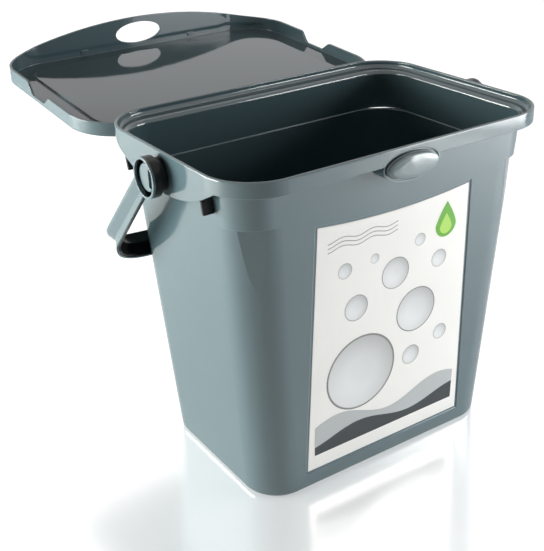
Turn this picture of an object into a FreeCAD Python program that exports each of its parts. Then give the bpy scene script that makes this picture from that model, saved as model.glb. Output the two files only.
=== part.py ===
"""Lidded powder container: a tapered tub with a rim band, a lid that clips over an oval button
and swings on two hooks at the back, a bail handle on two side studs, and a film label.

Frame: +Z up, the underside of the tub at z = 0, +X to the right seen from the label side,
the label faces -Y. Lengths are in millimetres.
"""
import FreeCAD, Part
import math
import os
import re

import Sketcher

# name, value, meaning
SIZES = [
    ("rim_width", 252, "outside of the rim band, left to right"),
    ("rim_depth", 178.5, "outside of the rim band, front to back"),
    ("rim_corner", 35.5, "corner radius of the rim band"),
    ("tub_height", 241.5, "top of the rim"),
    ("neck_side_inset", 7.2, "wall at the gallery, in from the rim at each side"),
    ("neck_front_inset", 11.5, "the same at the front and the back"),
    ("neck_corner", 24, "corner radius above the ledge"),
    ("ledge_corner", 28.4, "corner radius just under the ledge"),
    ("foot_width", 203.5, "outside of the wall at the floor"),
    ("foot_depth", 136.5, "outside of the wall at the floor"),
    ("foot_corner", 26.2, "corner radius at the floor"),
    ("foot_round", 4, "rounding of the bottom edge"),
    ("foot_recess", 1, "the underside stands on a rim this high"),
    ("foot_rim", 7.4, "width of that rim"),
    ("wall", 2.2, "wall below the inner ledge"),
    ("corner_fill", 3, "how much rounder the inside of a corner is than an even wall"),
    ("neck_wall", 1.4, "wall above the inner ledge"),
    ("floor", 3, "thickness of the floor"),
    ("ledge_drop", 34.5, "rim down to the inner ledge and the top of the scallops"),
    ("gallery_drop", 5.5, "rim down to the gallery inside it"),
    ("gallery_thickness", 2, "gallery web between wall and band"),
    ("gallery_round", 3, "rolled edge where the gallery meets the wall"),
    ("band_wall", 2.2, "wall of the rim band"),
    ("band_deep", 10, "height of the band at the corners"),
    ("sweep_deep", 27.5, "height of the band in the middle of each side"),
    ("sweep_half", 63, "half length of the swept part of the band"),
    ("rim_round", 0.9, "rounding along the top of the rim"),
    ("scallop_reach", 41, "length of the scallop in each upright corner"),
    ("scallop_half", 12, "half width of a corner scallop"),
    ("scallop_depth", 1.6, "depth of a corner scallop under the ledge"),
    ("scallop_turn", 54, "direction that a scallop faces, from the side towards the front or back"),
    ("bracket_half", 50, "half length of the black insert behind the band"),
    ("bracket_sheet", 2, "thickness of the insert"),
    ("bracket_rise", 7.5, "height of the insert's plate"),
    ("bracket_hang", 9.5, "fins at the insert's ends, below the band"),
    ("bracket_gap", 0.3, "insert to the wall, band and gallery"),
    ("fin_lean", 1, "how far the outer edge of a fin leans inwards"),
    ("button_width", 41, "oval latch button"),
    ("button_rise", 17, "height of the oval button"),
    ("button_drop", 12.5, "rim down to the middle of the button"),
    ("button_clear", 0.3, "button to the lid skirt as it passes"),
    ("button_round", 1, "rounding of the button's front edge"),
    ("button_moat", 1, "width and depth of the groove round the button"),
    ("pivot_drop", 15.5, "rim down to the axis of the handle"),
    ("stud_radius", 8.9, "handle stud"),
    ("stud_sink", 2.1, "stud below the outer face of the handle"),
    ("stud_lip", 0.7, "snap lip on the stud"),
    ("lip_length", 1.5, "length of the snap lip"),
    ("stud_slot_width", 3.8, "slot that lets the stud give"),
    ("stud_slot_height", 11.6, "height of that slot"),
    ("stud_slot_place", 4.8, "slot, in front of the stud's middle"),
    ("stud_slot_deep", 5.2, "depth of that slot"),
    ("running_gap", 0.05, "radial clearance of a pivot"),
    ("side_gap", 0.4, "end clearance beside a pivot"),
    ("label_top", 124, "width of the label along its top"),
    ("label_foot", 135.5, "width of the label along its bottom"),
    ("label_low", 14.7, "lower edge of the label, up the front face"),
    ("label_drop", 8.5, "ledge down to the upper corners of the label"),
    ("label_sag", 3.8, "dip of the label's upper edge"),
    ("label_thick", 0.25, "film thickness"),
    ("panel_margin", 1.9, "recess border round the label"),
    ("panel_deep", 0.6, "depth of the label recess"),
    ("lid_gap", 1.7, "lid skirt to rim band"),
    ("lid_wall", 1.8, "lid skirt"),
    ("lid_sheet", 1.7, "lid plate"),
    ("lid_seat", 0.3, "lid plate above the rim"),
    ("lid_corner_round", 1.6, "rounding of the lid's upper edge"),
    ("skirt_side", 12.4, "skirt at the front corners and sides"),
    ("skirt_back", 10.5, "skirt behind the handle notch"),
    ("skirt_front", 28.1, "skirt in the middle of the front"),
    ("arch_half", 128, "half length of the front arch"),
    ("arch_ease", 135, "radius that eases each end of the arch"),
    ("nub_place", 52, "snap nubs inside the front skirt, from the middle"),
    ("nub_length", 6, "length of a nub"),
    ("nub_stand", 0.9, "how far a nub stands off the skirt"),
    ("nub_rise", 2.4, "height of a nub"),
    ("nub_drop", 3.4, "lid plate down to the middle of a nub"),
    ("notch_front", 23, "front end of the notch at its mouth"),
    ("notch_back", 16.8, "rear end of the notch at its mouth"),
    ("notch_floor_front", 15.4, "front end of the notch at its root"),
    ("notch_floor_back", 7.4, "rear end of the notch at its root"),
    ("notch_round", 5.2, "rounding of the notch"),
    ("panel_inset", 18.9, "raised panel, in from the lid's outside"),
    ("panel_raise", 1.5, "step of the raised panel"),
    ("hole_gap", 1, "oval hole in the front skirt beyond the button"),
    ("hinge_drop", 9.5, "rim down to the hinge axis"),
    ("hinge_place", 63, "middle of each hinge, from the middle"),
    ("hook_width", 25.2, "length of a lid hook"),
    ("hook_radius", 2.9, "outside of a lid hook"),
    ("hook_mouth", 2.2, "opening of a lid hook"),
    ("pin_radius", 1.4, "hinge bar"),
    ("ear_thick", 3, "ears that carry a hinge bar"),
    ("ear_radius", 2.6, "rounded end of an ear"),
    ("swing_gap", 0.6, "lid skirt to an ear or a handle hub"),
    ("lid_open", 175.8, "angle from closed to open"),
    ("handle_stand", 11.6, "handle's outer face beyond the band"),
    ("handle_corner", 26.3, "outer corner radius of the handle along its upper edge"),
    ("upper_bow", 34.7, "end of an arm's straight part to the grip's far face, upper edge"),
    ("upper_clear", 10.5, "back wall to the grip's far face, front to back, at its upper edge"),
    ("lower_corner", 37, "outer corner radius along the lower edge"),
    ("lower_bow", 45.5, "end of an arm's straight part to the grip's far face, lower edge"),
    ("lower_clear", 14.6, "the same at its lower edge"),
    ("grip_height", 135, "height at which the grip hangs behind the back wall"),
    ("handle_width", 17.7, "width of the strap"),
    ("handle_drop", 1.55, "middle of the strap below the pivot's own line"),
    ("arm_root", 5.9, "lower edge of an arm below the pivot's own line, at the hub"),
    ("arm_end", 8.4, "the same where the corner begins"),
    ("arm_ease", 10, "length in which the arm widens to the whole strap"),
    ("handle_hang", 44.9, "swing from straight down, backwards"),
    ("strap_sheet", 1.5, "thickness of the outer strap"),
    ("strap_rim", 1.8, "flat edge on each side of the strap's hollow"),
    ("hollow_deep", 2, "depth of the hollow along the middle of the strap"),
    ("hollow_corner", 33, "outer corner radius along the bottom of the hollow"),
    ("core_sheet", 1.5, "thickness of the inner moulding"),
    ("core_margin", 0.6, "strap beyond each edge of the inner moulding"),
    ("hub_radius", 13.3, "round hub on the stud"),
    ("hub_wall", 1.4, "wall of the hub"),
    ("hub_floor", 1.5, "floor of the hub"),
    ("collar_radius", 11, "narrower collar of the hub, next to the band"),
    ("collar_length", 4.2, "length of that collar"),
]

NAMES = [name for name, _, _ in SIZES]

# Words for places that follow from the sizes; expressions use them like sizes.
PLACES = {
    "neck_width": "rim_width - 2 * neck_side_inset",
    "neck_depth": "rim_depth - 2 * neck_front_inset",
    "gallery_height": "tub_height - gallery_drop",
    "ledge_height": "tub_height - ledge_drop",
    "band_bottom": "tub_height - band_deep",
    "sweep_bottom": "tub_height - sweep_deep",
    "button_height": "tub_height - button_drop",
    "button_face": "rim_depth / 2 + lid_gap - button_clear",
    "pivot_height": "tub_height - pivot_drop",
    "label_high": "ledge_height - label_drop",
    "front_lean": "atan((neck_depth - foot_depth) / 2 / gallery_height)",
    "hinge_height": "tub_height - hinge_drop",
    "hinge_back": "rim_depth / 2 + hook_radius + side_gap",
    "ear_place": "hook_width / 2 + side_gap + ear_thick / 2",
    "sweep_rise": "sweep_deep - band_deep",
    "sweep_radius": "(sweep_half ^ 2 + sweep_rise ^ 2) / 2 / sweep_rise",
    "band_inside": "rim_width / 2 - band_wall",
    "bracket_top": "gallery_height - gallery_thickness - bracket_gap",
    "fin_inside": "bracket_half - bracket_sheet",
    "bracket_edge": "sweep_bottom + sweep_radius - sqrt(sweep_radius ^ 2 - fin_inside ^ 2)",
    "lid_under": "tub_height + lid_seat",
    "lid_top": "lid_under + lid_sheet",
    "lid_over": "lid_gap + lid_wall",
    "lid_low": "lid_top - skirt_front - lid_wall",
    "notch_root": "pivot_height + hub_radius + swing_gap",
    "handle_half": "rim_width / 2 + handle_stand",
    "grip_wall": "(foot_depth + (neck_depth - foot_depth) * grip_height / gallery_height) / 2",
    "handle_reach": "(grip_wall + upper_clear) / sin(handle_hang)",
    "handle_straight": "handle_reach - upper_bow",
    "lower_reach": "(grip_wall + lower_clear) / sin(handle_hang)",
    "lower_straight": "lower_reach - lower_bow",
    "hollow_half": "handle_half - hollow_deep",
    "hollow_reach": "(handle_reach + lower_reach) / 2 - hollow_deep",
    "hollow_bend": "(handle_straight + handle_corner + lower_straight + lower_corner) / 2",
    "hollow_straight": "hollow_bend - hollow_deep - hollow_corner",
    "hub_inside": "rim_width / 2 + side_gap + collar_length",
    "cup_floor": "hub_inside + hub_floor",
    "arch_drop": "skirt_front - skirt_side",
    "arch_radius": "(arch_half ^ 2 + arch_drop ^ 2) / 2 / arch_drop - arch_ease",
    "arch_share": "arch_radius / (arch_radius + arch_ease)",
}

doc = FreeCAD.newDocument("container")
sheet = doc.addObject("Spreadsheet::Sheet", "sizes")
for row, (name, value, meaning) in enumerate(SIZES, start=1):
    sheet.set("A%d" % row, name)
    sheet.set("B%d" % row, str(value))
    sheet.set("C%d" % row, meaning)
    sheet.setAlias("B%d" % row, name)
doc.recompute()


def full(text):
    """The expression with the places written out and every size sent to the sheet."""
    def send(match):
        word = match[0]
        if word in PLACES:
            return "(" + full(PLACES[word]) + ")"
        return "sizes." + word if word in NAMES else word
    return re.sub("[a-z_]+", send, text)


def worth(text):
    """The present value of an expression."""
    result = sheet.evalExpression(full(text))
    return float(getattr(result, "Value", result))


def new_body(label):
    body = doc.addObject("PartDesign::Body", label)
    body.Label = label
    return body


def new_sketch(body, name, plane, offset=("0", "0", "0"), axis=None, angle="0"):
    """A sketch on one of the body's own planes, moved and turned in that plane's own axes."""
    sketch = body.newObject("Sketcher::SketchObject", name)
    support = next(f for f in body.Origin.OriginFeatures if f.Role == plane)
    sketch.AttachmentSupport = [(support, "")]
    sketch.MapMode = "FlatFace"
    if axis:
        turn = FreeCAD.Rotation(FreeCAD.Vector(*axis), worth(angle))
        sketch.AttachmentOffset = FreeCAD.Placement(FreeCAD.Vector(0, 0, 0), turn)
        sketch.setExpression("AttachmentOffset.Rotation.Angle", full(angle))
    for direction, text in zip("xyz", offset):
        sketch.setExpression("AttachmentOffset.Base." + direction, full(text))
    doc.recompute()
    return sketch


def fix(sketch, kind, places, text):
    """A driving dimension tied to an expression."""
    index = sketch.addConstraint(Sketcher.Constraint(kind, *places, worth(text)))
    sketch.setExpression("Constraints[%d]" % index, full(text))


def rounded_rectangle(sketch, width, depth, radius):
    """A rectangle about the sketch's origin with four equal corners."""
    w, d, r = worth(width) / 2, worth(depth) / 2, worth(radius)
    point = FreeCAD.Vector
    ends = [((r - w, -d), (w - r, -d)), ((w, r - d), (w, d - r)),
            ((w - r, d), (r - w, d)), ((-w, d - r), (-w, r - d))]
    middles = [(w - r, r - d), (w - r, d - r), (r - w, d - r), (r - w, r - d)]
    lines, arcs = [], []
    for side in range(4):
        (x0, y0), (x1, y1) = ends[side]
        lines.append(sketch.addGeometry(Part.LineSegment(point(x0, y0, 0), point(x1, y1, 0))))
        circle = Part.Circle(point(*middles[side], 0), point(0, 0, 1), r)
        start = math.radians(90 * side - 90)
        arcs.append(sketch.addGeometry(Part.ArcOfCircle(circle, start, start + math.pi / 2)))
    for side in range(4):
        sketch.addConstraint(Sketcher.Constraint("Tangent", lines[side], 2, arcs[side], 1))
        sketch.addConstraint(Sketcher.Constraint("Tangent", arcs[side], 2, lines[(side + 1) % 4], 1))
        kind = "Vertical" if side % 2 else "Horizontal"
        sketch.addConstraint(Sketcher.Constraint(kind, lines[side]))
        if side:
            sketch.addConstraint(Sketcher.Constraint("Equal", arcs[0], arcs[side]))
    sketch.addConstraint(Sketcher.Constraint("Symmetric", arcs[0], 3, arcs[2], 3, -1, 1))
    fix(sketch, "Radius", (arcs[0],), radius)
    fix(sketch, "DistanceX", (arcs[3], 3, arcs[0], 3), "%s - 2 * (%s)" % (width, radius))
    fix(sketch, "DistanceY", (arcs[0], 3, arcs[1], 3), "%s - 2 * (%s)" % (depth, radius))


def outline(sketch, corners):
    """A closed outline. A corner is (x, y), or (x, y, turn, radius) where an arc leads to the next
    corner: turn is 1 for an arc that runs anticlockwise and -1 for one that runs clockwise."""
    count = len(corners)
    points = [FreeCAD.Vector(worth(corner[0]), worth(corner[1]), 0) for corner in corners]
    ends = []
    for i, corner in enumerate(corners):
        start, end = points[i], points[(i + 1) % count]
        if len(corner) == 2:
            index = sketch.addGeometry(Part.LineSegment(start, end))
            ends.append((index, 1, 2))
            continue
        turn, radius = corner[2], worth(corner[3])
        chord = end - start
        rise = math.sqrt(radius ** 2 - chord.Length ** 2 / 4)
        left = FreeCAD.Vector(-chord.y, chord.x, 0) / chord.Length
        middle = (start + end) / 2 + left * rise * turn
        first, last = (start, end) if turn > 0 else (end, start)
        begin = math.atan2(first.y - middle.y, first.x - middle.x)
        finish = math.atan2(last.y - middle.y, last.x - middle.x)
        ring = Part.Circle(middle, FreeCAD.Vector(0, 0, 1), radius)
        index = sketch.addGeometry(Part.ArcOfCircle(ring, begin, finish))
        ends.append((index, 1, 2) if turn > 0 else (index, 2, 1))
    for i, corner in enumerate(corners):
        index, start, end = ends[i]
        following, next_start, _ = ends[(i + 1) % count]
        sketch.addConstraint(Sketcher.Constraint("Coincident", index, end, following, next_start))
        fix(sketch, "DistanceX", (-1, 1, index, start), corner[0])
        fix(sketch, "DistanceY", (-1, 1, index, start), corner[1])
        if len(corner) > 2:
            fix(sketch, "Radius", (index,), corner[3])


def rectangle(sketch, left, right, low, high):
    outline(sketch, [(left, low), (right, low), (right, high), (left, high)])


def circle(sketch, x, y, radius):
    disc = Part.Circle(FreeCAD.Vector(worth(x), worth(y), 0), FreeCAD.Vector(0, 0, 1), worth(radius))
    index = sketch.addGeometry(disc)
    fix(sketch, "DistanceX", (-1, 1, index, 3), x)
    fix(sketch, "DistanceY", (-1, 1, index, 3), y)
    fix(sketch, "Radius", (index,), radius)
    return index


def ellipse(sketch, y, width, rise):
    """An upright oval on the sketch's second axis, its long way across."""
    middle = FreeCAD.Vector(0, worth(y), 0)
    index = sketch.addGeometry(Part.Ellipse(middle, worth(width) / 2, worth(rise) / 2))
    sketch.exposeInternalGeometry(index)
    long_axis, short_axis = index + 1, index + 2
    sketch.addConstraint(Sketcher.Constraint("Horizontal", long_axis))
    fix(sketch, "DistanceX", (-1, 1, index, 3), "0")
    fix(sketch, "DistanceY", (-1, 1, index, 3), y)
    fix(sketch, "Distance", (long_axis,), width)
    fix(sketch, "Distance", (short_axis,), rise)
    return index


def grow(body, kind, name, sketch, length, **settings):
    """A pad or pocket of one sketch; extra settings are set by name."""
    feature = body.newObject("PartDesign::" + kind, name)
    feature.Profile = sketch
    for key, value in settings.items():
        setattr(feature, key, value)
    feature.setExpression("Length", full(length))
    doc.recompute()
    return feature


def loft(body, kind, name, first, *others):
    feature = body.newObject("PartDesign::" + kind, name)
    feature.Profile = first
    feature.Sections = list(others)
    feature.Ruled = True
    doc.recompute()
    return feature


def round_edges(body, name, radius, wanted):
    """A fillet on the edges of the body's last shape for which wanted(edge) is true."""
    base = body.Tip
    names = ["Edge%d" % (i + 1) for i, edge in enumerate(base.Shape.Edges) if wanted(edge)]
    feature = body.newObject("PartDesign::Fillet", name)
    feature.Base = (base, names)
    feature.setExpression("Radius", full(radius))
    doc.recompute()
    return feature


def at_height(edge, height, slack=0.01):
    box = edge.BoundBox
    return abs(box.ZMin - height) < slack and abs(box.ZMax - height) < slack


# The tapered wall's outside at any height, as expressions.
def wall_width(height):
    return "(foot_width + (neck_width - foot_width) * (%s) / gallery_height)" % height


def wall_depth(height):
    return "(foot_depth + (neck_depth - foot_depth) * (%s) / gallery_height)" % height


def wall_corner(height):
    """Corner radius below the ledge; above it the corners are fuller, at neck_corner."""
    return "(foot_corner + (ledge_corner - foot_corner) * (%s) / ledge_height)" % height


def wall_sketch(body, name, height, corner, thinner="0"):
    """The wall's section at a height, with a corner radius before it is made thinner."""
    sketch = new_sketch(body, name, "XY_Plane", ("0", "0", height))
    rounded_rectangle(sketch, "%s - 2 * (%s)" % (wall_width(height), thinner),
                      "%s - 2 * (%s)" % (wall_depth(height), thinner),
                      "%s - (%s)" % (corner, thinner))
    return sketch


def front_sketch(body, name, away):
    """A sketch in the plane of the front wall: right is +X, up is up the wall, out is -Y."""
    shift = "foot_depth / 2 + (%s) / cos(front_lean)" % away
    return new_sketch(body, name, "XZ_Plane", ("0", "0", shift), (1, 0, 0), "front_lean")


def label_outline(sketch, border):
    """The label's outline, grown by a border; its upper edge dips in the middle."""
    top, foot = "(label_top / 2 + %s)" % border, "(label_foot / 2 + %s)" % border
    high, low = "(label_high + %s)" % border, "(label_low - %s)" % border
    dip = "(%s ^ 2 + label_sag ^ 2) / 2 / label_sag" % top
    outline(sketch, [("-" + foot, low), (foot, low), (top, high, -1, dip), ("-" + top, high)])


def add_band(body):
    """The rim band: deep at the sides, where it carries the handle, and shallow elsewhere."""
    ring = new_sketch(body, "band_ring", "XY_Plane", ("0", "0", "sweep_bottom - band_wall"))
    rounded_rectangle(ring, "rim_width", "rim_depth", "rim_corner")
    rounded_rectangle(ring, "rim_width - 2 * band_wall", "rim_depth - 2 * band_wall",
                      "rim_corner - band_wall")
    grow(body, "Pad", "band", ring, "tub_height - sweep_bottom + band_wall")
    edge = new_sketch(body, "band_edge", "YZ_Plane")
    low = "sweep_bottom - 2 * band_wall"
    outline(edge, [("-rim_depth", low), ("rim_depth", low), ("rim_depth", "band_bottom"),
                   ("sweep_half", "band_bottom", -1, "sweep_radius"), ("-sweep_half", "band_bottom"),
                   ("-rim_depth", "band_bottom")])
    grow(body, "Pocket", "band_lower_edge", edge, "2 * rim_width", Midplane=True)
    round_edges(body, "rim_rounding", "rim_round",
                lambda edge: at_height(edge, worth("tub_height")))
    web = new_sketch(body, "gallery_web", "XY_Plane", ("0", "0", "gallery_height - gallery_thickness"))
    rounded_rectangle(web, "rim_width - band_wall", "rim_depth - band_wall",
                      "rim_corner - band_wall / 2")
    grow(body, "Pad", "gallery", web, "gallery_thickness")


def add_button(body):
    """The oval button that holds the lid shut, on an oval seat flush with the band."""
    seat = new_sketch(body, "seat_oval", "XZ_Plane", ("0", "0", "neck_depth / 2 - wall"))
    ellipse(seat, "button_height", "button_width + 4 * button_moat", "button_rise + 4 * button_moat")
    grow(body, "Pad", "button_seat", seat, "(rim_depth - neck_depth) / 2 + wall")
    clear = new_sketch(body, "rim_inside", "XY_Plane", ("0", "0", "gallery_height"))
    rounded_rectangle(clear, "2 * band_inside", "rim_depth - 2 * band_wall", "rim_corner - band_wall")
    grow(body, "Pocket", "rim_clearance", clear, "gallery_drop", Reversed=True)
    moat = new_sketch(body, "moat_oval", "XZ_Plane", ("0", "0", "rim_depth / 2"))
    ellipse(moat, "button_height", "button_width + 2 * button_moat", "button_rise + 2 * button_moat")
    grow(body, "Pocket", "button_moat_cut", moat, "button_moat")
    oval = new_sketch(body, "button_oval", "XZ_Plane", ("0", "0", "rim_depth / 2 - 2 * button_moat"))
    ellipse(oval, "button_height", "button_width", "button_rise")
    grow(body, "Pad", "button", oval, "button_face - rim_depth / 2 + 2 * button_moat")
    face = -worth("button_face")
    round_edges(body, "button_rounding", "button_round",
                lambda edge: abs(edge.BoundBox.YMax - face) < 0.01)


def add_walls(body):
    """The tapered walls, open at the top, with an inner ledge and a recessed underside."""
    foot = wall_sketch(body, "foot", "0", "foot_corner")
    shoulder = wall_sketch(body, "shoulder", "ledge_height", "ledge_corner")
    loft(body, "AdditiveLoft", "walls", foot, shoulder)
    neck_low = wall_sketch(body, "neck_low", "ledge_height", "neck_corner")
    neck_high = wall_sketch(body, "neck_high", "gallery_height", "neck_corner")
    loft(body, "AdditiveLoft", "neck", neck_low, neck_high)
    round_edges(body, "bottom_rounding", "foot_round", lambda edge: at_height(edge, 0))
    inside_low = wall_sketch(body, "floor_inside", "floor",
                             wall_corner("floor") + " + corner_fill", "wall")
    inside_high = wall_sketch(body, "ledge_inside", "ledge_height", "ledge_corner + corner_fill", "wall")
    loft(body, "SubtractiveLoft", "inside", inside_low, inside_high)
    round_edges(body, "floor_rounding", "foot_round",
                lambda edge: at_height(edge, worth("floor")))
    ledge_top = wall_sketch(body, "ledge_top", "ledge_height", "neck_corner", "neck_wall")
    mouth = wall_sketch(body, "mouth", "tub_height", "neck_corner", "neck_wall")
    loft(body, "SubtractiveLoft", "inside_neck", ledge_top, mouth)
    round_edges(body, "gallery_roll", "gallery_round", lambda edge: (
        at_height(edge, worth("gallery_height"))
        and edge.BoundBox.XMax < worth("band_inside - gallery_round")
        and max(edge.BoundBox.YMax, -edge.BoundBox.YMin) < worth("neck_depth / 2")))
    under = new_sketch(body, "underside", "XY_Plane")
    rounded_rectangle(under, "foot_width - 2 * foot_rim", "foot_depth - 2 * foot_rim",
                      "foot_corner - foot_rim")
    grow(body, "Pocket", "foot_hollow", under, "foot_recess", Reversed=True)


def add_scallops(body):
    """A flat, leaning cut in each rounded corner: full depth at the ledge, run out below it."""
    spread = "(%s / 2 - %s)"
    skin, run_out = wall_corner("ledge_height"), "(ledge_height - scallop_reach)"
    across, deep, rounder = ["(%s - %s)" % (size("ledge_height"), size(run_out))
                             for size in (wall_width, wall_depth, wall_corner)]
    low_skin = "%s - (%s / 2 - %s) * cos(scallop_turn) - (%s / 2 - %s) * sin(scallop_turn)" % (
        wall_corner(run_out), across, rounder, deep, rounder)
    corners = [(1, 1, "scallop_turn"), (-1, 1, "180 - scallop_turn"),
               (-1, -1, "180 + scallop_turn"), (1, -1, "360 - scallop_turn")]
    for count, (x, y, facing) in enumerate(corners):
        middle_x = "%d * " % x + spread % (wall_width("ledge_height"), skin)
        middle_y = "%d * " % -y + spread % (wall_depth("ledge_height"), skin)
        cut = new_sketch(body, "scallop_%d" % count, "XZ_Plane", (middle_x, "0", middle_y),
                         (0, 1, 0), facing)
        outline(cut, [(skin + " - scallop_depth", "ledge_height"), (low_skin, run_out),
                      (skin + " + scallop_depth", run_out), (skin + " + scallop_depth", "ledge_height")])
        grow(body, "Pocket", "corner_%d" % count, cut, "2 * scallop_half", Midplane=True)


def add_studs(body):
    """The round studs that the handle turns on, slotted so that they give when it is pushed on."""
    for name, side in (("left", "-"), ("right", "")):
        back = side == "-"
        root = new_sketch(body, name + "_stud_root", "YZ_Plane",
                          ("0", "0", side + "(rim_width - band_wall) / 2"))
        circle(root, "0", "pivot_height", "stud_radius")
        grow(body, "Pad", name + "_stud", root, "handle_stand - stud_sink + band_wall / 2",
             Reversed=back)
        lip = new_sketch(body, name + "_lip_root", "YZ_Plane",
                         ("0", "0", side + "(cup_floor + side_gap)"))
        circle(lip, "0", "pivot_height", "stud_radius + stud_lip")
        grow(body, "Pad", name + "_lip", lip, "lip_length", Reversed=back)
        end = new_sketch(body, name + "_stud_end", "YZ_Plane",
                         ("0", "0", side + "(handle_half - stud_sink)"))
        rectangle(end, "-stud_slot_place - stud_slot_width / 2",
                  "-stud_slot_place + stud_slot_width / 2",
                  "pivot_height - stud_slot_height / 2", "pivot_height + stud_slot_height / 2")
        grow(body, "Pocket", name + "_stud_slot", end, "stud_slot_deep", Reversed=back)


HINGES = (("left", "-"), ("right", ""))


def add_hinge_bars(body):
    """Two bars behind the band, each between a pair of ears, for the lid's hooks."""
    for name, side in HINGES:
        for end in "-+":
            place = "%shinge_place %s ear_place" % (side, end)
            label = name + ("_outer" if end == (side or "+") else "_inner")
            web = new_sketch(body, label + "_web", "YZ_Plane", ("0", "0", place))
            rectangle(web, "(rim_depth - band_wall) / 2", "hinge_back",
                      "hinge_height - ear_radius", "hinge_height + ear_radius")
            grow(body, "Pad", label + "_ear", web, "ear_thick", Midplane=True)
            tip = new_sketch(body, label + "_tip", "YZ_Plane", ("0", "0", place))
            circle(tip, "hinge_back", "hinge_height", "ear_radius")
            grow(body, "Pad", label + "_ear_end", tip, "ear_thick", Midplane=True)
        bar = new_sketch(body, name + "_bar_end", "YZ_Plane", ("0", "0", side + "hinge_place"))
        circle(bar, "hinge_back", "hinge_height", "pin_radius")
        grow(body, "Pad", name + "_bar", bar, "2 * ear_place", Midplane=True)


def make_tub():
    body = new_body("tub")
    add_band(body)
    add_button(body)
    add_walls(body)
    add_scallops(body)
    recess = front_sketch(body, "label_recess", "0")
    label_outline(recess, "panel_margin")
    grow(body, "Pocket", "label_panel", recess, "panel_deep")
    add_studs(body)
    add_hinge_bars(body)
    return body


def make_label():
    """The film label in its shallow recess."""
    body = new_body("label")
    sketch = front_sketch(body, "film", "-panel_deep")
    label_outline(sketch, "0")
    grow(body, "Pad", "label_film", sketch, "label_thick")
    return body


def make_bracket(name, side):
    """A black insert in the hollow behind the band; its two end fins show below the band."""
    body = new_body(name)
    back = side == "-"
    inside = "(band_inside - bracket_gap)"
    plate = new_sketch(body, name + "_plate_face", "YZ_Plane", ("0", "0", side + inside))
    rectangle(plate, "-bracket_half", "bracket_half", "bracket_top - bracket_rise", "bracket_top")
    grow(body, "Pad", name + "_plate", plate, "bracket_sheet", Reversed=not back)
    low, edge = "bracket_edge - bracket_hang", "bracket_edge - bracket_gap"
    wall_low, wall_top = ["(%s / 2 + bracket_gap)" % wall_width(z) for z in (low, "bracket_top")]
    for end, place in (("front", "bracket_half"), ("back", "-bracket_half + bracket_sheet")):
        fin = new_sketch(body, name + "_" + end + "_face", "XZ_Plane", ("0", "0", place))
        outer = "rim_width / 2 - bracket_gap"
        corners = [(wall_low, low), (outer + " - fin_lean", low), (outer, edge),
                   (inside, edge), (inside, "bracket_top"), (wall_top, "bracket_top")]
        outline(fin, [("%s(%s)" % (side, x), z) for x, z in corners])
        grow(body, "Pad", name + "_" + end + "_fin", fin, "bracket_sheet", Reversed=True)
    return body


# The lid is drawn closed, in the tub's own frame, and then swung open.
def lid_outline(sketch, inset):
    rounded_rectangle(sketch, "rim_width + 2 * lid_over - 2 * (%s)" % inset,
                      "rim_depth + 2 * lid_over - 2 * (%s)" % inset,
                      "rim_corner + lid_over - (%s)" % inset)


def add_lid_shell(body):
    """Plate and skirt, with the panel pressed inwards from the plate."""
    block = new_sketch(body, "lid_foot", "XY_Plane", ("0", "0", "lid_low"))
    lid_outline(block, "0")
    grow(body, "Pad", "lid_block", block, "lid_top - lid_low")
    round_edges(body, "lid_rounding", "lid_corner_round",
                lambda edge: at_height(edge, worth("lid_top")))
    inside = new_sketch(body, "lid_inside", "XY_Plane", ("0", "0", "lid_under"))
    lid_outline(inside, "lid_wall")
    grow(body, "Pocket", "lid_hollow", inside, "lid_under - lid_low")
    dish = new_sketch(body, "panel_back", "XY_Plane", ("0", "0", "lid_top"))
    panel = new_sketch(body, "panel_face", "XY_Plane", ("0", "0", "lid_under"))
    lid_outline(panel, "panel_inset")
    grow(body, "Pad", "panel", panel, "panel_raise", Reversed=True)
    lid_outline(dish, "panel_inset + lid_sheet")
    grow(body, "Pocket", "panel_dish", dish, "panel_raise")


def cut_lid_skirt(body):
    """The skirt's lower edge: notched over each handle hub, arched down in front."""
    split, low = "rim_depth / 2 - rim_corner", "lid_low - lid_wall"
    side, back, root = "lid_top - skirt_side", "lid_top - skirt_back", "notch_root"
    profile = new_sketch(body, "side_edge", "YZ_Plane")
    outline(profile, [("-(%s)" % split, low), ("rim_depth", low), ("rim_depth", back),
                      ("notch_back", back), ("notch_floor_back", root), ("-notch_floor_front", root),
                      ("-notch_front", side), ("-(%s)" % split, side)])
    grow(body, "Pocket", "side_skirts", profile, "2 * rim_width", Midplane=True)
    heights = [worth(text) for text in (side, back, root)]
    round_edges(body, "notch_rounding", "notch_round", lambda edge: (
        edge.BoundBox.YLength < 0.01 and edge.BoundBox.ZLength < 0.01
        and abs(edge.BoundBox.YMin) < worth("notch_front + lid_wall")
        and min(abs(edge.BoundBox.ZMin - height) for height in heights) < 0.01))
    turn_x, turn_z = "(arch_half * arch_share)", "lid_top - skirt_front + arch_drop * arch_share"
    arch = new_sketch(body, "front_edge", "XZ_Plane", ("0", "0", split))
    outline(arch, [("-rim_width", low), ("rim_width", low), ("rim_width", side),
                   ("arch_half", side, 1, "arch_ease"), (turn_x, turn_z, -1, "arch_radius"),
                   ("-" + turn_x, turn_z, 1, "arch_ease"), ("-arch_half", side),
                   ("-rim_width", side)])
    grow(body, "Pocket", "front_skirt", arch, "rim_depth", Reversed=True)
    hole = new_sketch(body, "hole_oval", "XZ_Plane", ("0", "0", "rim_depth / 2 - rim_corner"))
    ellipse(hole, "button_height", "button_width + 2 * hole_gap", "button_rise + hole_gap")
    grow(body, "Pocket", "button_hole", hole, "rim_depth", Reversed=True)


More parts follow.
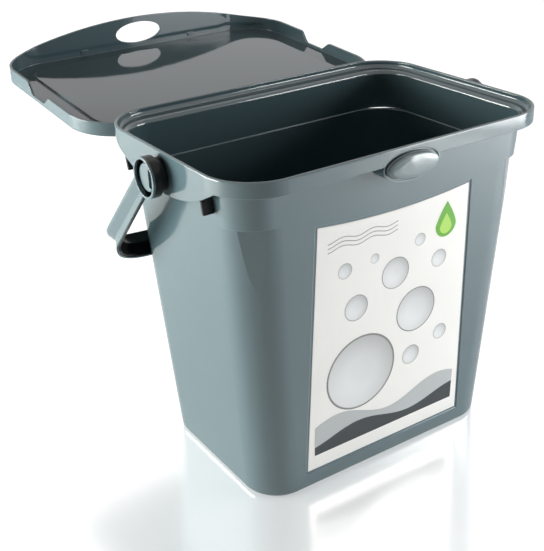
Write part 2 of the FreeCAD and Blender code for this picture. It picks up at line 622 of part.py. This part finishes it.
def add_lid_nubs(body):
    """Two small nubs inside the front skirt that click under the edge of the rim."""
    for name, side in HINGES:
        nub = new_sketch(body, name + "_nub_face", "XZ_Plane",
                         ("0", "0", "rim_depth / 2 + lid_gap + lid_wall / 2"))
        middle = "lid_under - nub_drop"
        rectangle(nub, side + "nub_place - nub_length / 2", side + "nub_place + nub_length / 2",
                  middle + " - nub_rise / 2", middle + " + nub_rise / 2")
        grow(body, "Pad", name + "_nub", nub, "lid_wall / 2 + nub_stand", Reversed=True)


def add_lid_hooks(body):
    """Hooks that snap on the tub's hinge bars, and room in the skirt for the ears."""
    for name, side in HINGES:
        for end in "-+":
            label = name + ("_outer" if end == (side or "+") else "_inner")
            room = new_sketch(body, label + "_room_end", "YZ_Plane",
                              ("0", "0", "%shinge_place %s ear_place" % (side, end)))
            circle(room, "hinge_back", "hinge_height", "ear_radius + swing_gap")
            grow(body, "Pocket", label + "_room", room, "ear_thick + 2 * side_gap", Midplane=True)
        middle = ("0", "0", side + "hinge_place")
        outside = new_sketch(body, name + "_hook_end", "YZ_Plane", middle)
        circle(outside, "hinge_back", "hinge_height", "hook_radius")
        grow(body, "Pad", name + "_hook", outside, "hook_width", Midplane=True)
        bore = new_sketch(body, name + "_bore_end", "YZ_Plane", middle)
        circle(bore, "hinge_back", "hinge_height", "pin_radius + running_gap")
        grow(body, "Pocket", name + "_bore", bore, "hook_width + side_gap", Midplane=True)
        mouth = new_sketch(body, name + "_mouth_end", "YZ_Plane", middle)
        rectangle(mouth, "hinge_back - hook_mouth / 2", "hinge_back + hook_mouth / 2",
                  "hinge_height - 2 * hook_radius", "hinge_height")
        grow(body, "Pocket", name + "_mouth", mouth, "hook_width + side_gap", Midplane=True)


def make_lid():
    body = new_body("lid")
    add_lid_shell(body)
    cut_lid_skirt(body)
    add_lid_nubs(body)
    add_lid_hooks(body)
    body.Placement = FreeCAD.Placement(FreeCAD.Vector(0, 0, 0),
                                       FreeCAD.Rotation(FreeCAD.Vector(-1, 0, 0), worth("lid_open")))
    body.setExpression("Placement.Rotation.Angle", full("lid_open"))
    body.setExpression("Placement.Base.y", full(
        "hinge_back - hinge_back * cos(lid_open) - hinge_height * sin(lid_open)"))
    body.setExpression("Placement.Base.z", full(
        "hinge_height + hinge_back * sin(lid_open) - hinge_height * cos(lid_open)"))
    doc.recompute()
    return body


# The handle is drawn flat: +Y runs from the studs to the grip and +Z across the strap's width.
# Each line along it: how far out the arms are, corner radius, straight length and reach.
UPPER_EDGE = ("handle_half", "handle_corner", "handle_straight", "handle_reach")
HOLLOW = ("hollow_half", "hollow_corner", "hollow_straight", "hollow_reach")
LOWER_EDGE = ("handle_half", "lower_corner", "lower_straight", "lower_reach")


def bail(sketch, line, inset, sheet):
    """A U of sheet, inset from one line: straight arms, round corners and a bowed grip."""
    half, corner, straight, reach = line
    side, end = "(%s - %s)" % (half, corner), "(%s - %s)" % (reach, straight)
    bow = "((%s ^ 2 + %s ^ 2 - %s ^ 2) / 2 / (%s - %s))" % (side, end, corner, end, corner)

    def face(inset):
        share = "((%s - (%s)) / (%s - %s))" % (bow, inset, bow, corner)
        height = "(%s - %s + (%s - %s) * %s)" % (reach, bow, bow, end, share)
        return ["(%s - (%s))" % (half, inset), "(%s - (%s))" % (corner, inset),
                "(%s - (%s))" % (bow, inset), "(%s * %s)" % (side, share), height]

    outside, bend, long_bend, meet, height = face(inset)
    path = [(outside, "0"), (outside, straight, 1, bend), (meet, height, 1, long_bend),
            ("-" + meet, height, 1, bend), ("-" + outside, straight), ("-" + outside, "0")]
    outside, bend, long_bend, meet, height = face("%s + %s" % (inset, sheet))
    path += [("-" + outside, "0"), ("-" + outside, straight, -1, bend),
             ("-" + meet, height, -1, long_bend), (meet, height, -1, bend),
             (outside, straight), (outside, "0")]
    outline(sketch, path)


def add_strip(body, name, inset, sheet, margin):
    """One layer of the strap: flat along both edges and hollow between them."""
    rim, edge = "(handle_width / 2 - strap_rim)", "(handle_width / 2 - %s)" % margin
    levels = [(edge, UPPER_EDGE), (rim, UPPER_EDGE), ("0", HOLLOW),
              ("-" + rim, LOWER_EDGE), ("-" + edge, LOWER_EDGE)]
    sketches = []
    for count, (height, line) in enumerate(levels):
        level = new_sketch(body, "%s_level_%d" % (name, count), "XY_Plane",
                           ("0", "0", height + " - handle_drop"))
        bail(level, line, inset, sheet)
        sketches.append(level)
    loft(body, "AdditiveLoft", name, *sketches)


def taper_arms(body):
    """The arms get narrower towards the hubs, along their lower edge."""
    low, far = "(-handle_width / 2 - handle_drop)", "handle_straight + arm_ease"
    taper = new_sketch(body, "arm_taper", "YZ_Plane")
    outline(taper, [("0", "-arm_root"), ("handle_straight", "-arm_end"), (far, low),
                    (far, "2 * " + low), ("0", "2 * " + low)])
    grow(body, "Pocket", "arm_tapers", taper, "2 * rim_width", Midplane=True)


def hang(body):
    body.Placement = FreeCAD.Placement(FreeCAD.Vector(0, 0, 0),
                                       FreeCAD.Rotation(FreeCAD.Vector(-1, 0, 0), 1))
    body.setExpression("Placement.Rotation.Angle", full("90 - handle_hang"))
    body.setExpression("Placement.Base.z", full("pivot_height"))
    doc.recompute()
    return body


def make_strap():
    """The outer strap, with a ring round each hub."""
    body = new_body("handle_strap")
    add_strip(body, "strap", "0", "strap_sheet", "0")
    taper_arms(body)
    for name, side in HINGES:
        back = side == "-"
        ring = new_sketch(body, name + "_ring_end", "YZ_Plane",
                          ("0", "0", side + "(handle_half - strap_sheet)"))
        circle(ring, "0", "0", "hub_radius")
        grow(body, "Pad", name + "_ring", ring, "strap_sheet", Reversed=back)
    hole = new_sketch(body, "ring_hole", "YZ_Plane")
    circle(hole, "0", "0", "hub_radius - hub_wall")
    grow(body, "Pocket", "ring_holes", hole, "2 * rim_width", Midplane=True)
    return hang(body)


def make_core():
    """The inner moulding: a liner behind the strap and the two hubs that turn on the studs."""
    body = new_body("handle_core")
    add_strip(body, "liner", "strap_sheet", "core_sheet", "core_margin")
    taper_arms(body)
    rim = "(handle_width / 2 - strap_rim)"
    for name, side in HINGES:
        back = side == "-"
        face = new_sketch(body, name + "_hub_end", "YZ_Plane", ("0", "0", side + "hub_inside"))
        circle(face, "0", "0", "hub_radius")
        grow(body, "Pad", name + "_hub", face, "handle_half - strap_sheet - hub_inside", Reversed=back)
        fold = new_sketch(body, name + "_fold_end", "XZ_Plane")
        outline(fold, [("%s(handle_half - strap_sheet)" % side, "-%s - handle_drop" % rim),
                       ("%s(handle_half - strap_sheet)" % side, rim + " - handle_drop"),
                       ("%s(hollow_half - strap_sheet)" % side, "-handle_drop")])
        grow(body, "Pocket", name + "_fold", fold, "2 * hub_radius")
        floor = new_sketch(body, name + "_cup_end", "YZ_Plane", ("0", "0", side + "cup_floor"))
        circle(floor, "0", "0", "hub_radius - hub_wall")
        grow(body, "Pocket", name + "_cup", floor, "handle_stand", Reversed=not back)
        collar = new_sketch(body, name + "_collar_end", "YZ_Plane",
                            ("0", "0", side + "(rim_width / 2 + side_gap)"))
        circle(collar, "0", "0", "collar_radius")
        grow(body, "Pad", name + "_collar", collar, "collar_length", Reversed=back)
    bore = new_sketch(body, "stud_bore", "YZ_Plane")
    circle(bore, "0", "0", "stud_radius + running_gap")
    grow(body, "Pocket", "stud_bores", bore, "2 * rim_width", Midplane=True)
    return hang(body)


PARTS = [make_tub(), make_label(), make_lid(), make_strap(), make_core()]
PARTS += [make_bracket("pivot_bracket_" + name, side) for name, side in HINGES]
doc.recompute()

for item in doc.Objects:
    if "Invalid" in item.State or "Error" in item.State:
        raise RuntimeError("%s failed" % item.Name)
os.makedirs("parts", exist_ok=True)
for body in PARTS:
    if body.Shape.isNull() or not body.Shape.isValid() or len(body.Shape.Solids) != 1:
        raise RuntimeError("%s is not one good solid" % body.Label)
    body.Shape.exportStep("parts/%s.step" % body.Label)
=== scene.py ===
import math

import bmesh
import bpy
from mathutils import Matrix, Vector


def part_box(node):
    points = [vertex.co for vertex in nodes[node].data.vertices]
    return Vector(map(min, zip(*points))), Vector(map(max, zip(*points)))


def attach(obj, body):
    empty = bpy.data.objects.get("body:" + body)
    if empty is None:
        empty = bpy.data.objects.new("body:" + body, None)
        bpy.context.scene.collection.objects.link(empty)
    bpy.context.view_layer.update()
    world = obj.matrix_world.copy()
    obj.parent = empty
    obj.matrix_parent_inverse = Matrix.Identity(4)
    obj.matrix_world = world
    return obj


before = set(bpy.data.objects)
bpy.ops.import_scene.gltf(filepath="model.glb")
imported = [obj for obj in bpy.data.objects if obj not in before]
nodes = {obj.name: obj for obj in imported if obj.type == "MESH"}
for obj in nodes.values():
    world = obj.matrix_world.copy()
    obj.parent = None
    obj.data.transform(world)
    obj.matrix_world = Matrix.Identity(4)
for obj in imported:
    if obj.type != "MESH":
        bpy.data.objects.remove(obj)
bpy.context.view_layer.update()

# ---------------------------------------------------------------- camera, light and table
# The tub stands on a polished white table between two large soft boxes, one behind its left
# side and one before its right, so that the upright corner between them stays darker. A thin
# strip above adds one fine highlight.
scene = bpy.context.scene
scene.view_settings.view_transform = "Standard"

camera_place = (-0.37838, -0.51567, 0.43692)
right = Vector((0.8316, -0.5543, -0.0336))
up = Vector((0.2720, 0.3538, 0.8949))
back = Vector((-0.4842, -0.7533, 0.4450))
turn = Matrix((right, up, back)).transposed().to_4x4()
camera = bpy.data.objects.new("camera", bpy.data.cameras.new("camera"))
camera.data.lens = 64.17
camera.data.sensor_width = 36
camera.data.clip_start = 0.01
camera.matrix_world = Matrix.Translation(camera_place) @ turn
scene.collection.objects.link(camera)
scene.camera = camera

lamp_target = Vector((0, 0, 0.14))


def soft_box(name, place, width, height, power, colour=(1, 1, 1)):
    light = bpy.data.lights.new(name, "AREA")
    light.shape = "RECTANGLE"
    light.size = width
    light.size_y = height
    light.energy = power
    light.color = colour
    lamp = bpy.data.objects.new(name, light)
    lamp.location = place
    aim = lamp_target - lamp.location
    lamp.rotation_euler = aim.to_track_quat("-Z", "Y").to_euler()
    scene.collection.objects.link(lamp)


soft_box("box_left", place=(-1.05, 0.6, 0.24), width=0.9, height=0.44, power=26.5,
         colour=(1, 1, 0.95))
soft_box("box_right", place=(0.62, -0.5, 0.24), width=0.5, height=0.46, power=6.6)
soft_box("strip_above", place=(0.25, 0.35, 1.0), width=0.8, height=0.04, power=0.5)

# The surround is white where it is seen, mirrored or looked at through something clear, and
# lights the rest only faintly.
surround_light = 0.05
surround_seen = 1.0
world = bpy.data.worlds.new("surround")
scene.world = world
world.use_nodes = True
tree = world.node_tree
seen = tree.nodes.new("ShaderNodeLightPath")
either = tree.nodes.new("ShaderNodeMath")
either.operation = "MAXIMUM"
tree.links.new(seen.outputs["Is Camera Ray"], either.inputs[0])
tree.links.new(seen.outputs["Is Glossy Ray"], either.inputs[1])
any_of = tree.nodes.new("ShaderNodeMath")
any_of.operation = "MAXIMUM"
tree.links.new(either.outputs["Value"], any_of.inputs[0])
tree.links.new(seen.outputs["Is Transmission Ray"], any_of.inputs[1])
level = tree.nodes.new("ShaderNodeMapRange")
level.inputs["To Min"].default_value = surround_light
level.inputs["To Max"].default_value = surround_seen
tree.links.new(any_of.outputs["Value"], level.inputs["Value"])
tree.links.new(level.outputs["Result"], tree.nodes["Background"].inputs["Strength"])
tree.nodes["Background"].inputs["Color"].default_value = (1, 1, 1, 1)

deck = bmesh.new()
bmesh.ops.create_circle(deck, cap_ends=True, segments=96, radius=4)
mesh = bpy.data.meshes.new("table_top")
deck.to_mesh(mesh)
deck.free()
table_top = bpy.data.objects.new("table_top", mesh)
scene.collection.objects.link(table_top)

# Seen directly the table is lacquered and mirrors the tub softly. For every other ray it is
# plain matt white, with a little glow where the tub mirrors it.
lacquer_share = 0.68
lacquer_rough = 0.19
glow_seen = 0.4
glow_mirrored = 0.25
paint = bpy.data.materials.new("white_table")
paint.use_nodes = True
tree = paint.node_tree
plain = tree.nodes["Principled BSDF"]
plain.inputs["Base Color"].default_value = (0.9, 0.9, 0.9, 1)
plain.inputs["Roughness"].default_value = 0.6
gloss = tree.nodes.new("ShaderNodeBsdfGlossy")
gloss.inputs["Color"].default_value = (1, 1, 1, 1)
gloss.inputs["Roughness"].default_value = lacquer_rough
polished = tree.nodes.new("ShaderNodeMixShader")
polished.inputs["Fac"].default_value = lacquer_share
tree.links.new(plain.outputs["BSDF"], polished.inputs[1])
tree.links.new(gloss.outputs["BSDF"], polished.inputs[2])
glow = tree.nodes.new("ShaderNodeEmission")
glow.inputs["Strength"].default_value = glow_seen
lit = tree.nodes.new("ShaderNodeAddShader")
tree.links.new(polished.outputs["Shader"], lit.inputs[0])
tree.links.new(glow.outputs["Emission"], lit.inputs[1])
glint = tree.nodes.new("ShaderNodeMapRange")
glint.inputs["To Max"].default_value = glow_mirrored
seen = tree.nodes.new("ShaderNodeLightPath")
tree.links.new(seen.outputs["Is Glossy Ray"], glint.inputs["Value"])
tree.links.new(glint.outputs["Result"], plain.inputs["Emission Strength"])
plain.inputs["Emission Color"].default_value = (1, 1, 1, 1)
top = tree.nodes.new("ShaderNodeMixShader")
tree.links.new(seen.outputs["Is Camera Ray"], top.inputs["Fac"])
tree.links.new(plain.outputs["BSDF"], top.inputs[1])
tree.links.new(lit.outputs["Shader"], top.inputs[2])
tree.links.new(top.outputs["Shader"], tree.nodes["Material Output"].inputs["Surface"])
table_top.data.materials.append(paint)

# ---------------------------------------------------------------- tub
# One injection moulding in polished grey-green polypropylene. Faint flow marks vary its tone,
# a very slight waviness from cooling breaks the gloss, and its edges carry a painted highlight.
grey_green = (0.096, 0.152, 0.172)
edge_radius = 0.0008
tone_spread = 0.05
gloss_spread = 0.2
edge_highlight_gain = 2.6


def moulded(name, colour, rough, wave=0.02, flow_size=14, gleam=0.5):
    material = bpy.data.materials.new(name)
    material.use_nodes = True
    tree = material.node_tree
    shader = tree.nodes["Principled BSDF"]
    shader.inputs["Specular IOR Level"].default_value = gleam
    place = tree.nodes.new("ShaderNodeTexCoord")

    flow = tree.nodes.new("ShaderNodeTexNoise")
    flow.inputs["Scale"].default_value = flow_size
    flow.inputs["Detail"].default_value = 3
    tree.links.new(place.outputs["Object"], flow.inputs["Vector"])
    tone = tree.nodes.new("ShaderNodeMapRange")
    tone.inputs["To Min"].default_value = 1 - tone_spread
    tone.inputs["To Max"].default_value = 1 + tone_spread
    tree.links.new(flow.outputs["Fac"], tone.inputs["Value"])
    tint = tree.nodes.new("ShaderNodeMix")
    tint.name = "tint"
    tint.data_type = "RGBA"
    tint.blend_type = "MULTIPLY"
    tint.inputs["Factor"].default_value = 1
    tint.inputs["A"].default_value = (*colour, 1)
    tree.links.new(tone.outputs["Result"], tint.inputs["B"])

    rounded = tree.nodes.new("ShaderNodeBevel")
    rounded.samples = 6
    rounded.inputs["Radius"].default_value = edge_radius
    facing = tree.nodes.new("ShaderNodeNewGeometry")
    apart = tree.nodes.new("ShaderNodeVectorMath")
    apart.operation = "DOT_PRODUCT"
    tree.links.new(rounded.outputs["Normal"], apart.inputs[0])
    tree.links.new(facing.outputs["Normal"], apart.inputs[1])
    # Painted highlight: near rounded edges the colour is mixed towards a much paler copy,
    # standing in for light caught along the edges.
    edge_highlight_mask = tree.nodes.new("ShaderNodeMapRange")
    edge_highlight_mask.inputs["From Min"].default_value = 0.99
    edge_highlight_mask.inputs["From Max"].default_value = 0.85
    edge_highlight_mask.inputs["To Max"].default_value = 0.6
    tree.links.new(apart.outputs["Value"], edge_highlight_mask.inputs["Value"])
    edge_highlight_mix = tree.nodes.new("ShaderNodeMix")
    edge_highlight_mix.data_type = "RGBA"
    tree.links.new(edge_highlight_mask.outputs["Result"], edge_highlight_mix.inputs["Factor"])
    tree.links.new(tint.outputs["Result"], edge_highlight_mix.inputs["A"])
    edge_highlight_mix.inputs["B"].default_value = (*[min(1, part * edge_highlight_gain) for part in colour], 1)
    tree.links.new(edge_highlight_mix.outputs["Result"], shader.inputs["Base Color"])

    gloss = tree.nodes.new("ShaderNodeMapRange")
    gloss.inputs["To Min"].default_value = rough * (1 - gloss_spread)
    gloss.inputs["To Max"].default_value = rough * (1 + gloss_spread)
    tree.links.new(flow.outputs["Fac"], gloss.inputs["Value"])
    tree.links.new(gloss.outputs["Result"], shader.inputs["Roughness"])

    ripple = tree.nodes.new("ShaderNodeTexNoise")
    ripple.inputs["Scale"].default_value = 30
    tree.links.new(place.outputs["Object"], ripple.inputs["Vector"])
    bump = tree.nodes.new("ShaderNodeBump")
    bump.inputs["Strength"].default_value = wave
    bump.inputs["Distance"].default_value = 0.01
    tree.links.new(ripple.outputs["Fac"], bump.inputs["Height"])
    tree.links.new(rounded.outputs["Normal"], bump.inputs["Normal"])
    tree.links.new(bump.outputs["Normal"], shader.inputs["Normal"])
    return material


nodes["tub"].data.materials.clear()
nodes["tub"].data.materials.append(moulded("tub_plastic", grey_green, rough=0.1, gleam=0.9))

# ---------------------------------------------------------------- latch button
# An oval cushion moulded on the band, with a finer satin finish than the wall round it,
# over which the front of the lid snaps. Its grey is lighter than the tub's: a painted sheen
# for the light its dome catches.
button_sheen_grey = (0.17, 0.235, 0.25)
button_place = (0, -0.0906, 0.229)
button_half_width = 0.0198
button_half_height = 0.0079
button_thick = 0.0026
dome_steps = 8
crown = 0.16


def dome_slope(step):
    return math.radians(90 * step / dome_steps)


def dome_width(step):
    return 1 - crown + crown * math.cos(dome_slope(step))


dome = bmesh.new()
bmesh.ops.create_circle(dome, cap_ends=True, segments=72, radius=1)
face = dome.faces[:]
for step in range(1, dome_steps):
    grown = bmesh.ops.extrude_face_region(dome, geom=face)
    bmesh.ops.delete(dome, geom=face, context="FACES_ONLY")
    ring = [item for item in grown["geom"] if isinstance(item, bmesh.types.BMVert)]
    face = [item for item in grown["geom"] if isinstance(item, bmesh.types.BMFace)]
    share = dome_width(step) / dome_width(step - 1)
    bmesh.ops.scale(dome, vec=(share, share, 1), verts=ring)
    lift = math.sin(dome_slope(step)) - math.sin(dome_slope(step - 1))
    bmesh.ops.translate(dome, vec=(0, 0, lift), verts=ring)
bmesh.ops.inset_region(dome, faces=face, thickness=0.3, depth=0.12)
button_size = Matrix.Diagonal((button_half_width, button_half_height, button_thick, 1))
on_band = Matrix.Translation(button_place) @ Matrix.Rotation(math.radians(90), 4, "X")
bmesh.ops.transform(dome, matrix=on_band @ button_size, verts=dome.verts)
bmesh.ops.recalc_face_normals(dome, faces=dome.faces)
for side in dome.faces:
    side.smooth = True
mesh = bpy.data.meshes.new("latch_button")
dome.to_mesh(mesh)
dome.free()
latch_button = bpy.data.objects.new("latch_button", mesh)
scene.collection.objects.link(latch_button)
satin_and_painted_sheen = moulded("button_plastic", button_sheen_grey, rough=0.14, wave=0.12, gleam=1)
latch_button.data.materials.append(satin_and_painted_sheen)
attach(latch_button, "tub")

# ---------------------------------------------------------------- lid
# One moulding of the same plastic as the tub, with a smoother and more even polish. It is
# swung right back on the two hooks that hold it to the bars behind the rim.
lid_plastic = moulded("lid_plastic", grey_green, rough=0.06, wave=0.01, flow_size=6, gleam=0.6)
nodes["lid"].data.materials.clear()
nodes["lid"].data.materials.append(lid_plastic)

# ---------------------------------------------------------------- handle
# A grey-green strap, duller than the tub, lies over a liner of dyed black plastic. The
# liner carries the two hubs that turn on the studs of the tub.
strap_plastic = moulded("strap_plastic", grey_green, rough=0.2, gleam=0.7)
black_plastic = moulded("black_plastic", (0.002, 0.0025, 0.003), rough=0.25, gleam=0.25)
nodes["handle_strap"].data.materials.clear()
nodes["handle_strap"].data.materials.append(strap_plastic)
nodes["handle_core"].data.materials.clear()
nodes["handle_core"].data.materials.append(black_plastic)

# ---------------------------------------------------------------- pivot brackets
# Two inserts of the same black plastic as the handle's liner, held in the hollow behind the
# band. Only the small fins at their ends show below it.
for name in ("pivot_bracket_left", "pivot_bracket_right"):
    nodes[name].data.materials.clear()
    nodes[name].data.materials.append(black_plastic)

# ---------------------------------------------------------------- label
# A glossy white film stuck in the shallow recess of the front wall. It is printed with a
# plain pattern: soap bubbles and thin lines in greys over two waves, and one green drop.
film_white = moulded("film_white", (0.92, 0.92, 0.895), rough=0.18, wave=0.006)
nodes["label"].data.materials.clear()
nodes["label"].data.materials.append(film_white)

low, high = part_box("label")
film_thick = 0.00025
film_foot = high.y - film_thick
lean = math.atan2(film_foot - low.y, high.z - low.z)
on_film = (Matrix.Translation((0, film_foot, low.z))
           @ Matrix.Rotation(math.radians(90) + lean, 4, "X"))


def ink(name, colour):
    return moulded(name, colour, rough=0.2, wave=0.006)


def printed(name, sheet, lift, material):
    place = on_film @ Matrix.Translation((0, 0, lift))
    bmesh.ops.transform(sheet, matrix=place, verts=sheet.verts)
    mesh = bpy.data.meshes.new(name)
    sheet.to_mesh(mesh)
    sheet.free()
    piece = bpy.data.objects.new(name, mesh)
    scene.collection.objects.link(piece)
    piece.data.materials.append(material)
    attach(piece, "tub")


# Each bubble is a disc of rings: pale in the middle, darker towards its rim and towards its
# upper right, with a dark outline. A row is its place across and along the film, and its radius.
middle_tone = 0.80
rim_shade = 0.30
rim_from = 0.3
side_shade = 0.12
outline_tone = 0.22
outline_from = 0.95
ring_steps = (0.03, 0.03, 0.06, 0.1, 0.16, 0.2)
bubbles = bmesh.new()
tone = bubbles.loops.layers.float_color.new("tone")
for across, along, radius in (
        (-0.024, 0.066, 0.0290), (0.022, 0.100, 0.0170), (-0.030, 0.118, 0.0095),
        (0.002, 0.134, 0.0115), (0.040, 0.134, 0.0065), (-0.040, 0.148, 0.0055),
        (0.022, 0.153, 0.0045), (-0.016, 0.150, 0.0035), (0.046, 0.074, 0.0060),
        (0.020, 0.064, 0.0075)):
    made = bmesh.ops.create_circle(bubbles, cap_ends=True, segments=72, radius=radius)
    disc = list({face for vert in made["verts"] for face in vert.link_faces})
    every = list(disc)
    for share in ring_steps:
        every += bmesh.ops.inset_region(bubbles, faces=disc, thickness=radius * share,
                                        use_boundary=True)["faces"]
    for face in every:
        for corner in face.loops:
            out = corner.vert.co.length / radius
            side = (corner.vert.co.x + corner.vert.co.y) / radius
            shade = middle_tone - rim_shade * max(0, out - rim_from) ** 1.5 - side_shade * side
            if out > outline_from:
                shade = outline_tone
            corner[tone] = (shade * 0.97, shade, shade * 1.01, 1)
    bmesh.ops.translate(bubbles, vec=(across, along, 0),
                        verts=list({vert for face in every for vert in face.verts}))
soap = ink("ink_bubbles", (1, 1, 1))
shades = soap.node_tree.nodes.new("ShaderNodeVertexColor")
shades.layer_name = "tone"
soap.node_tree.links.new(shades.outputs["Color"], soap.node_tree.nodes["tint"].inputs["A"])
printed("print_bubbles", bubbles, 0.00006, soap)

# The waves cross the foot of the film. The crests of the two are out of step, because each
# starts its swing from its own height.
wave_width = 0.124
wave_pace = 70
wave_shift = 200
for name, along, tall, swell, colour, lift in (
        ("print_pale_wave", 0.0230, 0.0200, 0.0060, (0.50, 0.53, 0.54), 0.00008),
        ("print_dark_wave", 0.0165, 0.0105, 0.0042, (0.035, 0.045, 0.050), 0.0001)):
    wave = bmesh.new()
    bmesh.ops.create_grid(wave, x_segments=72, y_segments=1, size=0.5)
    for vert in wave.verts:
        vert.co.x *= wave_width
        crest = math.sin(vert.co.x * wave_pace + along * wave_shift) * swell
        vert.co.y = vert.co.y * tall + (crest if vert.co.y > 0 else 0) + along
    printed(name, wave, lift, ink("ink" + name[5:], colour))

line_length = 0.056
line_width = 0.0006
line_across = -0.026
line_swing = 0.0012
line_pace = 260
line_grey = (0.30, 0.31, 0.32)
for name, along in (("print_line_low", 0.1655), ("print_line_middle", 0.1685),
                    ("print_line_high", 0.1715)):
    thread = bmesh.new()
    bmesh.ops.create_grid(thread, x_segments=60, y_segments=1, size=0.5)
    for vert in thread.verts:
        vert.co.x = vert.co.x * line_length + line_across
        vert.co.y = vert.co.y * line_width + along + line_swing * math.sin(vert.co.x * line_pace)
    printed(name, thread, 0.00008, ink("ink" + name[5:], line_grey))

# A drop is a circle whose upper half narrows to a point.
drop_across = 0.044
point_narrow = 0.55
point_length = 1.9
for name, size, along, lift, colour in (
        ("print_drop", 0.0090, 0.158, 0.00012, (0.13, 0.42, 0.035)),
        ("print_drop_light", 0.0052, 0.1565, 0.00014, (0.42, 0.72, 0.12))):
    drop = bmesh.new()
    bmesh.ops.create_circle(drop, cap_ends=True, segments=64, radius=1)
    for vert in drop.verts:
        if vert.co.y > 0:
            vert.co.x *= (1 - vert.co.y) ** point_narrow if vert.co.y < 1 else 0
            vert.co.y *= point_length
    bmesh.ops.scale(drop, vec=(size, size, 1), verts=drop.verts)
    bmesh.ops.translate(drop, vec=(drop_across, along, 0), verts=drop.verts)
    printed(name, drop, lift, ink("ink" + name[5:], colour))
